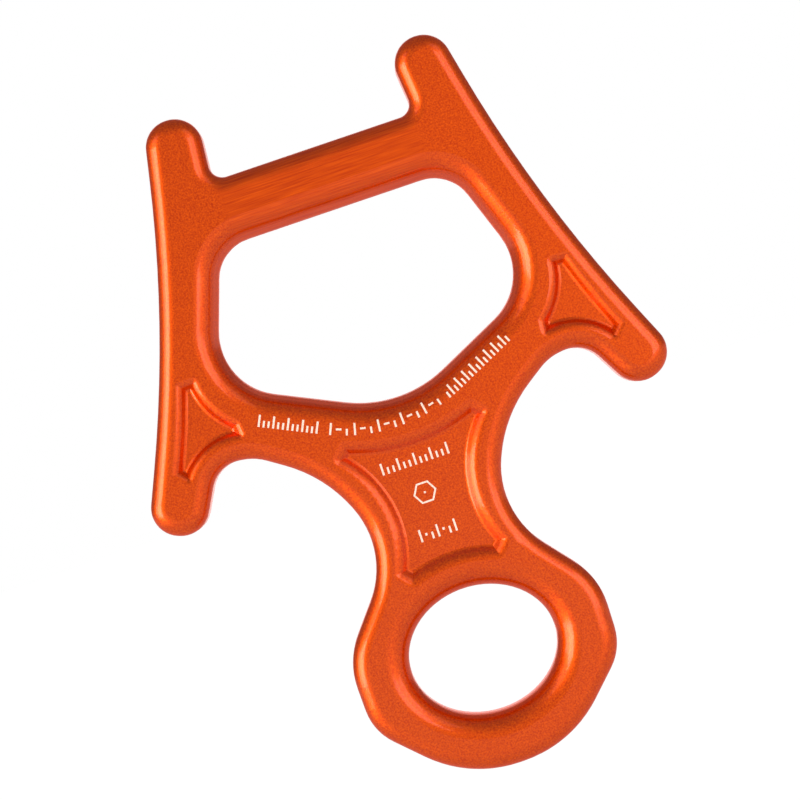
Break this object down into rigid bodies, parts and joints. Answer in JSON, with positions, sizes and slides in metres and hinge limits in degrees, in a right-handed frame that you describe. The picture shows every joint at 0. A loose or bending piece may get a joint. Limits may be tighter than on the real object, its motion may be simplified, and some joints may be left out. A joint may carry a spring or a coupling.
{
  "type": "rope descender",
  "caption": "Forged plate descender: oval carabiner eye, wide rope window with a straight friction bar, upper and lower rope horns and shallow relief pockets.",
  "frame": {"origin": "centre of the carabiner eye, on the forging's parting plane", "axes": "+X across the device, +Z from the carabiner eye up to the friction bar, Y through the thickness with the front face at -Y"},
  "size_m": [0.1078, 0.012, 0.1435],
  "materials": {
    "anodised_body": "orange anodised, fine blasted satin"
  },
  "bodies": {
    "root": {"descender_body": "anodised_body"}
  },
  "joints": []
}
